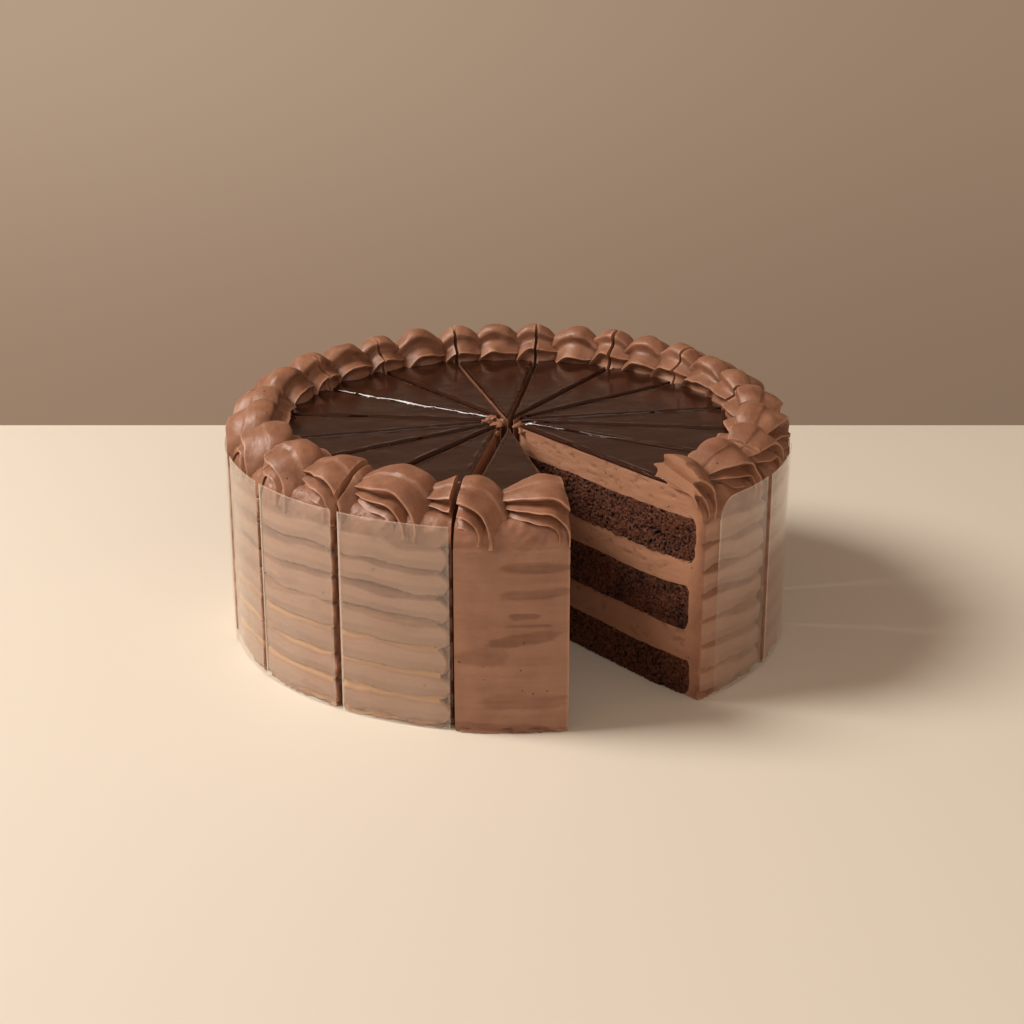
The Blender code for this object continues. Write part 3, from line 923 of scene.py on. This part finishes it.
def make_glaze(index, material):
    """Poured glaze of one portion: a thin sheet with a dragged bead along both cuts."""
    start, end = portion_limits(index)
    share = np.linspace(TIP_SHARE, 1.0, GLAZE_ROWS)[:, None]
    width = share * (GLAZE_RADIUS - 3 * MM) * math.radians(end - start)
    inner = np.linspace(0.0, 1.0, GLAZE_COLUMNS)[1:-1][None, :]
    near = np.minimum(GLAZE_EDGE[None, :] / width, 0.46)
    middle = near[:, -1:] + (1 - 2 * near[:, -1:]) * inner
    ways = np.concatenate([near, middle, 1 - near[:, ::-1]], axis=1)
    from_cut = np.minimum(ways, 1 - ways) * width
    place = to_space(index, GLAZE_RADIUS, 0.0, ways, 0.0, share)
    wave = 0.10 * MM * smooth_noise(place / (14 * MM), 71)
    wave = wave + 0.03 * MM * fractal(place / (3 * MM), 72, 2)
    drag = smooth_noise(place / (4 * MM), 73) + 0.5 * smooth_noise(place / (1.3 * MM), 74)
    broken = np.clip(0.25 + 1.3 * smooth_noise(place / (6 * MM), 75) + 0.6 * drag, 0.0, 1.3)
    bead = GLAZE_BEAD * np.exp(-(((from_cut - 0.9 * MM) / (0.5 * MM)) ** 2)) * broken
    brim = GLAZE_BRIM * np.clip(0.85 + 0.8 * drag, 0.25, 1.5)
    fall = GLAZE_FALL * np.clip(1 - from_cut / brim, 0, 1) ** 2.0
    top = GLAZE_TOP + wave + bead - fall
    overhang = GLAZE_OVERHANG * (0.4 + drag)
    top_points = to_space(index, GLAZE_RADIUS, top, ways, overhang, share)
    under = GLAZE_UNDER * np.ones_like(ways)
    low_points = to_space(index, GLAZE_RADIUS, under, ways, overhang * 0.3, share)
    rows, columns = ways.shape
    verts = np.vstack([top_points.reshape(-1, 3), low_points.reshape(-1, 3)])
    low = rows * columns
    faces = grid_faces(rows, columns) + grid_faces(rows, columns, low, flip=True)
    for r in range(rows - 1):
        a, b = r * columns, (r + 1) * columns
        faces.append([a, b, low + b, low + a])
        faces.append([b + columns - 1, a + columns - 1, low + a + columns - 1, low + b + columns - 1])
    for c in range(columns - 1):
        faces.append([c + 1, c, low + c, low + c + 1])
        far = (rows - 1) * columns + c
        faces.append([far, far + 1, low + far + 1, low + far])
    obj = mesh_object(f"glaze_{index:02d}", verts, faces, 70)
    dress(obj, material, [f"portion_{index:02d}_glaze"])


def make_film(index, material):
    """Clear strip round the wall of one portion, its upper corner rounded beside the gap."""
    start, end = portion_limits(index)
    near, far = (math.degrees(inset / WALL_RADIUS) for inset in portion_insets(index))
    far_flare = FLARES.get(index, (0.0, 0.0))[1]
    start += near + (FILM_LATE_START if index == OPEN else FILM_MARGIN)
    end += math.degrees(far_flare / WALL_RADIUS) - far - FILM_MARGIN
    rim_width = math.degrees(FILM_RIM / WALL_RADIUS)
    angle = np.radians(np.concatenate([
        [start, start + rim_width],
        np.linspace(start + 2 * rim_width, end - 2 * rim_width, FILM_COLUMNS),
        [end - rim_width, end],
    ]))[None, :]
    share = np.concatenate([np.linspace(0.0, 0.985, FILM_ROWS), [0.995, 1.0]])[:, None]
    rows, columns = len(share), angle.shape[1]
    level = FILM_FOOT + (FILM_TOP - FILM_FOOT) * share * np.ones_like(angle)
    arc = angle * WALL_RADIUS
    ripple = 0.12 * MM * patches(arc, 9, level, 40, index * 1.7, 81)
    if index == OPEN:
        reach = (angle - angle[0, 0]) * WALL_RADIUS
        inward = FILM_CORNER - np.minimum(reach, FILM_CORNER)
        cut = FILM_CORNER - np.sqrt(np.clip(FILM_CORNER ** 2 - inward ** 2, 0, None))
        level = FILM_FOOT + (FILM_TOP - cut - FILM_FOOT) * share
        ripple = ripple + 0.5 * MM * share ** 3 * np.exp(-reach / (6 * MM))
    # Painted highlight along the film's cut edges: strong at the start side and the top, faint at the
    # end side.
    rim_highlight = np.zeros((rows, columns))
    rim_highlight[:, [0, 1]] = 0.5 * smooth_step(0.6, 0.9, share) if index == OPEN else 0.7
    rim_highlight[:, [-2, -1]] = 0.12
    rim_highlight[-1, :] = 0.6
    layers = []
    for radius in (FILM_INNER, FILM_INNER + FILM_THICK):
        r = radius + ripple
        layer = stack(r * np.cos(angle), r * np.sin(angle), level).reshape(-1, 3)
        layers.append(layer + push_vector(index))
    low = rows * columns
    faces = grid_faces(rows, columns, 0, flip=True) + grid_faces(rows, columns, low)
    border = list(range(columns)) + [r * columns + columns - 1 for r in range(1, rows)]
    border += list(range(low - 2, low - columns - 1, -1))
    border += [r * columns for r in range(rows - 2, 0, -1)]
    for a, b in zip(border, border[1:] + border[:1]):
        faces.append([a, b, low + b, low + a])
    marks = {"rim_highlight": np.concatenate([rim_highlight.ravel(), rim_highlight.ravel()])}
    obj = mesh_object(f"film_{index:02d}", np.vstack(layers), faces, 40, marks)
    nodes = [f"portion_{index:02d}_film"] if index in FILM_NODES else []
    dress(obj, material, nodes)


# Crumbs and lumps left by the knife

def lump_mesh(rng, size):
    """Small torn lump: a rough ball squeezed and dented."""
    bm = bmesh.new()
    bmesh.ops.create_icosphere(bm, subdivisions=3, radius=1.0)
    seed = rng.randrange(1000)
    points = np.array([vert.co[:] for vert in bm.verts])
    swell = 1 + 0.55 * fractal(points * 1.3, seed, 3)
    squeeze = np.array([rng.uniform(0.7, 1.3), rng.uniform(0.7, 1.2), rng.uniform(0.5, 0.8)])
    for vert, place in zip(bm.verts, points * swell[:, None] * squeeze * size):
        vert.co = place
    faces = [[vert.index for vert in face.verts] for face in bm.faces]
    points = np.array([vert.co[:] for vert in bm.verts])
    bm.free()
    return points, faces


def make_lumps(name, spots, material, seed):
    """Lumps at spots given as x, y, level and size in millimetres."""
    rng = random.Random(seed)
    parts = []
    for x, y, level, size in spots:
        points, faces = lump_mesh(rng, size * MM)
        points = points - np.array((0.0, 0.0, points[:, 2].min() * 0.8))
        parts.append((points + np.array((x, y, level)) * MM, faces, {}))
    points, faces, _ = joined(parts)
    dress(mesh_object(name, points, faces, 70), material)


def crumb_spots(seed):
    """Crumbs scattered beside the cuts on the glaze, thicker towards the middle."""
    rng = random.Random(seed)
    spots = []
    for number in range(1, PORTIONS):
        for _ in range(4):
            reach = 8 + 80 * rng.random() ** 1.5
            side = rng.choice((-1, 1)) * rng.uniform(1.8, 3.4)
            place = direction(cut_angle(number)) * reach
            across = direction(cut_angle(number) + 90.0) * side
            spots.append((place.x + across.x, place.y + across.y, 87.6, rng.uniform(0.15, 0.4)))
    return spots


# Bodies of the portions

# Seeds of the waves under and over each layer, from the lowest up
CREAM_SEEDS = ((41, 43), (45, 47), (49, 51))
CREAM_RELIEF_SEEDS = (91, 92, 93)
SPONGE_SEEDS = {"low": (0, 41), "mid": (43, 45), "top": (47, 49)}


def make_portion(index, cream, sponge):
    """Cream with its layers, and the three sponges of one portion."""
    prefix = f"portion_{index:02d}"
    step = CLOSE_STEP if index in CLOSE_PORTIONS else FAR_STEP
    gap_side = index in (OPEN, FRONT)
    inner = sponge_end if gap_side else None
    parts = [cream_body(index, step, inner)]
    if gap_side:
        levels = [0.0, *(level for pair in SPONGE_LEVELS.values() for level in pair), TOP_LEVEL]
        layers = zip(levels[2::2], levels[3::2], CREAM_SEEDS, CREAM_RELIEF_SEEDS)
        for low, high, seeds, seed in layers:
            points, faces, torn = slab(index, low, high, seeds, CREAM_STEPS, cream_relief(seed))
            parts.append((points, faces, {"dark": torn, "cut": np.ones(len(points))}))
    points, faces, marks = joined(parts)
    body = mesh_object(f"cream_{index:02d}", points, faces, 50, marks)
    dress(body, cream, [prefix + ("_cream" if gap_side else "_body")])
    strength = 1.0 if gap_side else 0.35
    steps = SPONGE_STEPS.get(index, FAR_SPONGE_STEPS)
    for level, (low, high) in SPONGE_LEVELS.items():
        relief = crumb_relief(strength, 100 + index)
        points, faces, pits = slab(index, low, high, SPONGE_SEEDS[level], steps, relief)
        obj = mesh_object(f"sponge_{level}_{index:02d}", points, faces, 80, {"pit_shade": pits})
        dress(obj, sponge, [f"{prefix}_sponge_{level}"] if gap_side else [])


def joined(parts):
    """Points, faces and marks of several closed shells in one mesh."""
    points, faces = [], []
    names = sorted({name for part in parts for name in part[2]})
    marks = {name: [] for name in names}
    offset = 0
    for some_points, some_faces, some_marks in parts:
        points.append(some_points)
        faces += [[i + offset for i in face] for face in some_faces]
        for name in names:
            marks[name].append(np.ravel(some_marks.get(name, np.zeros(len(some_points)))))
        offset += len(some_points)
    return np.vstack(points), faces, {name: np.concatenate(values) for name, values in marks.items()}


# Materials

class Nodes:
    """Small helper that builds a node tree line by line."""

    def __init__(self, tree, place):
        self.tree = tree
        self.place = self.add("ShaderNodeTexCoord").outputs[place]

    def add(self, kind, inputs=None, **settings):
        node = self.tree.nodes.new(kind)
        for name, value in settings.items():
            setattr(node, name, value)
        for name, value in (inputs or {}).items():
            self.set(node.inputs[name], value)
        return node

    def set(self, socket, value):
        if isinstance(value, bpy.types.NodeSocket):
            self.tree.links.new(value, socket)
        else:
            socket.default_value = value

    def ramp(self, value, low, high, to_low=0.0, to_high=1.0, **settings):
        ends = {"From Min": low, "From Max": high, "To Min": to_low, "To Max": to_high}
        return self.add("ShaderNodeMapRange", {"Value": value, **ends}, **settings).outputs[0]

    def mix(self, factor, a, b):
        node = self.add("ShaderNodeMix", {0: factor, 6: a, 7: b}, data_type="RGBA")
        return node.outputs[2]


class Shader(Nodes):
    """Node material; over() lays a colour on a tone by part of a mask."""

    def __init__(self, name):
        self.material = bpy.data.materials.new(name)
        self.material.use_nodes = True
        super().__init__(self.material.node_tree, "Object")
        self.main = self.tree.nodes["Principled BSDF"]

    def noise(self, scale, detail=3.0, rough=0.55, stretch=None):
        place = self.place
        if stretch:
            place = self.add("ShaderNodeMapping", {"Vector": place, "Scale": stretch}).outputs[0]
        inputs = {"Vector": place, "Scale": scale, "Detail": detail, "Roughness": rough}
        return self.add("ShaderNodeTexNoise", inputs).outputs["Fac"]

    def dots(self, scale, radius, share):
        """Round pits: a mask near some of the scattered points, fading out at a small distance, where
        painted shade goes.
        """
        cells = self.add("ShaderNodeTexVoronoi", {"Vector": self.place, "Scale": scale})
        near = self.ramp(cells.outputs["Distance"], radius * 0.6, radius, 1.0, 0.0)
        split = self.add("ShaderNodeSeparateColor", {"Color": cells.outputs["Color"]})
        chosen = self.math("LESS_THAN", split.outputs[0], share)
        return self.math("MULTIPLY", near, chosen)

    def math(self, operation, a, b):
        node = self.add("ShaderNodeMath", {0: a, 1: b}, operation=operation)
        return node.outputs[0]

    def over(self, tone, mask, share, colour):
        return self.mix(self.math("MULTIPLY", mask, share), tone, colour)

    def mark(self, name):
        return self.add("ShaderNodeAttribute", attribute_name=name).outputs["Fac"]

    def bump(self, height, strength, distance, before=None):
        inputs = {"Height": height, "Strength": strength, "Distance": distance}
        if before is not None:
            inputs["Normal"] = before
        return self.add("ShaderNodeBump", inputs).outputs["Normal"]

    def finish(self, **inputs):
        for name, value in inputs.items():
            self.set(self.main.inputs[name.replace("_", " ")], value)
        return self.material


def cream_material():
    s = Shader("chocolate_cream")
    light = (0.300, 0.133, 0.074, 1)
    deep = (0.205, 0.081, 0.041, 1)
    pit_shade = (0.08, 0.030, 0.016, 1)
    tone = s.mix(s.ramp(s.noise(90, 4), 0.35, 0.68), deep, light)
    streak = s.ramp(s.noise(45, 4, 0.6, (1, 1, 7)), 0.45, 0.62)
    tone = s.over(tone, streak, 0.25, (0.350, 0.172, 0.102, 1))
    tone = s.over(tone, s.mark("pressed"), 0.68, (0.430, 0.248, 0.166, 1))
    # Painted golden glow: light a gold board would reflect into the low grooves of the wall.
    tone = s.over(tone, s.mark("warm"), 0.72, (0.620, 0.345, 0.150, 1))
    # The cut colour is the paler cream of knife-cut faces, and also a painted highlight on the thin
    # lips of the curls and a lighter line along the wall's scallops.
    tone = s.over(tone, s.mark("cut"), 0.55, (0.52, 0.270, 0.165, 1))
    # The dark colour is mostly painted shade: in hollows of the curls, in grooves, smears and foot of
    # the wall, and under lips and the ledge; besides, random darker bands and torn spots.
    tone = s.over(tone, s.mark("dark"), 0.78, (0.140, 0.055, 0.029, 1))
    pits = s.dots(210, 0.10, 0.35)
    specks = s.ramp(s.noise(1300, 2), 0.62, 0.78)
    tone = s.over(tone, specks, 0.35, deep)
    # Painted shade in the tiny round pits.
    tone = s.mix(pits, tone, pit_shade)
    height = s.math("SUBTRACT", s.math("MULTIPLY", s.noise(800, 4, 0.65), 0.5), pits)
    normal = s.bump(height, 0.6, 0.0005)
    rough = s.ramp(s.noise(260, 3), 0.3, 0.7, 0.40, 0.56)
    s.finish(Subsurface_Weight=0.08, Subsurface_Radius=(1.0, 0.45, 0.25), Subsurface_Scale=0.0015)
    return s.finish(Base_Color=tone, Roughness=rough, Normal=normal)


def sponge_material():
    s = Shader("chocolate_sponge")
    dark, light = (0.036, 0.0105, 0.0055, 1), (0.230, 0.075, 0.038, 1)
    crumb = s.mix(s.ramp(s.noise(1000, 4, 0.7), 0.38, 0.66), dark, light)
    # Painted shade, near black in the sponge's holes and dips.
    tone = s.mix(s.ramp(s.mark("pit_shade"), 0.36, 0.80), crumb, (0.006, 0.002, 0.0012, 1))
    bright = s.ramp(s.noise(1900, 3, 0.7), 0.58, 0.70)
    tone = s.over(tone, bright, 0.45, (0.34, 0.135, 0.080, 1))
    normal = s.bump(s.noise(2100, 4, 0.75), 1.0, 0.0007)
    return s.finish(Base_Color=tone, Roughness=0.8, Normal=normal, Specular_IOR_Level=0.25)


def glaze_material():
    s = Shader("chocolate_glaze")
    tone = s.mix(s.noise(40, 3), (0.024, 0.0074, 0.0039, 1), (0.038, 0.0122, 0.0063, 1))
    rough = s.ramp(s.noise(120, 4, 0.6), 0.3, 0.75, 0.10, 0.20)
    normal = s.bump(s.noise(55, 2), 0.12, 0.002)
    normal = s.bump(s.noise(1100, 3, 0.6), 0.10, 0.0003, normal)
    return s.finish(Base_Color=tone, Roughness=rough, Normal=normal, Specular_IOR_Level=0.42)


def film_material():
    """Clear film: see-through with a gloss that grows at a slant, and a painted highlight along its
    cut rims.
    """
    s = Shader("clear_film")
    veil = s.ramp(s.noise(60, 4, 0.6, (1, 1, 0.25)), 0.35, 0.7, 0.015, 0.06)
    # The rim mark lays a painted highlight as a paler, denser line.
    alpha = s.math("ADD", veil, s.math("MULTIPLY", s.mark("rim_highlight"), 0.42))
    s.finish(Base_Color=(0.93, 0.80, 0.66, 1), Roughness=0.25, IOR=1.45, Alpha=alpha)
    gloss = s.add("ShaderNodeBsdfGlossy", {"Color": (1.0, 0.98, 0.95, 1), "Roughness": 0.09})
    facing = s.add("ShaderNodeLayerWeight", {"Blend": 0.5}).outputs["Facing"]
    slant = s.ramp(s.math("POWER", facing, 5.0), 0.0, 1.0, 0.05, 0.9)
    both = s.add("ShaderNodeMixShader", {0: slant, 1: s.main.outputs[0], 2: gloss.outputs[0]})
    s.set(s.tree.nodes["Material Output"].inputs["Surface"], both.outputs[0])
    return s.material


def floor_material():
    s = Shader("pale_floor")
    tone = s.mix(s.noise(3, 2), (0.735, 0.664, 0.566, 1), (0.755, 0.684, 0.586, 1))
    return s.finish(Base_Color=tone, Roughness=0.55)


# Stage

FLOOR_NEAR, FLOOR_FAR, FLOOR_WIDE, FLOOR_LEVEL = -3.0, 0.275, 3.0, -0.0002
LIGHT_AIM = (0.0, 0.0, 0.05)
LIGHTS = (
    # name, place, size, power in watts, colour
    ("key", (-1.20, -0.05, 1.28), 0.75, 33.0, (1.0, 0.945, 0.87)),
    ("fill", (0.6, -1.6, 0.9), 1.4, 6.2, (1.0, 0.94, 0.88)),
)


def make_floor(material):
    left, right = -FLOOR_WIDE, FLOOR_WIDE
    corners = ((left, FLOOR_NEAR), (right, FLOOR_NEAR), (right, FLOOR_FAR), (left, FLOOR_FAR))
    points = [(x, y, FLOOR_LEVEL) for x, y in corners]
    mesh = bpy.data.meshes.new("floor")
    mesh.from_pydata(points, [], [(0, 1, 2, 3)])
    floor = linked("floor", mesh)
    floor.data.materials.append(material)


def area_light(name, place, size, power, colour):
    light = bpy.data.lights.new(name, "AREA")
    light.shape = "DISK"
    light.size = size
    light.energy = power
    light.color = colour
    obj = linked(name, light)
    obj.location = place
    obj.rotation_euler = (Vector(LIGHT_AIM) - Vector(place)).to_track_quat("-Z", "Y").to_euler()


def make_world():
    """Soft brown surroundings, brightest at the upper left."""
    world = bpy.data.worlds.new("studio")
    bpy.context.scene.world = world
    world.use_nodes = True
    nodes = Nodes(world.node_tree, "Generated")
    split = nodes.add("ShaderNodeSeparateXYZ", {0: nodes.place})

    def share(axis, low, high):
        return nodes.ramp(split.outputs[axis], low, high, interpolation_type="SMOOTHSTEP")

    across = share(0, -0.35, 0.35)
    low = nodes.mix(across, (0.330, 0.217, 0.146, 1), (0.232, 0.155, 0.102, 1))
    high = nodes.mix(across, (0.475, 0.340, 0.238, 1), (0.305, 0.205, 0.138, 1))
    tone = nodes.mix(share(2, -0.30, -0.07), low, high)
    above = nodes.mix(share(1, -0.3, 0.5), (0.380, 0.285, 0.210, 1), (0.140, 0.088, 0.062, 1))
    tone = nodes.mix(share(2, 0.16, 0.31), tone, above)
    nodes.set(nodes.tree.nodes["Background"].inputs["Color"], tone)


def make_camera():
    camera = bpy.data.cameras.new("camera")
    camera.sensor_width = SENSOR
    camera.lens = FOCAL_PIXELS / IMAGE_SIZE * SENSOR
    camera.clip_start = CAMERA_CLIP
    obj = linked("camera", camera)
    obj.location = CAMERA_PLACE
    obj.rotation_euler = (math.radians(90 - CAMERA_DOWN), 0.0, 0.0)
    bpy.context.scene.camera = obj


def main():
    make_camera()
    for light in LIGHTS:
        area_light(*light)
    make_world()
    make_floor(floor_material())
    cream = cream_material()
    sponge = sponge_material()
    glaze = glaze_material()
    film = film_material()
    for index in range(1, PORTIONS):
        make_portion(index, cream, sponge)
        make_glaze(index, glaze)
        if index != FRONT:
            make_film(index, film)
    make_borders(cream)
    make_lumps("centre_lumps", CENTRE_LUMPS, cream, 5)
    make_lumps("crumbs", crumb_spots(17), sponge, 6)
    bpy.context.scene.view_settings.view_transform = "Standard"


main()
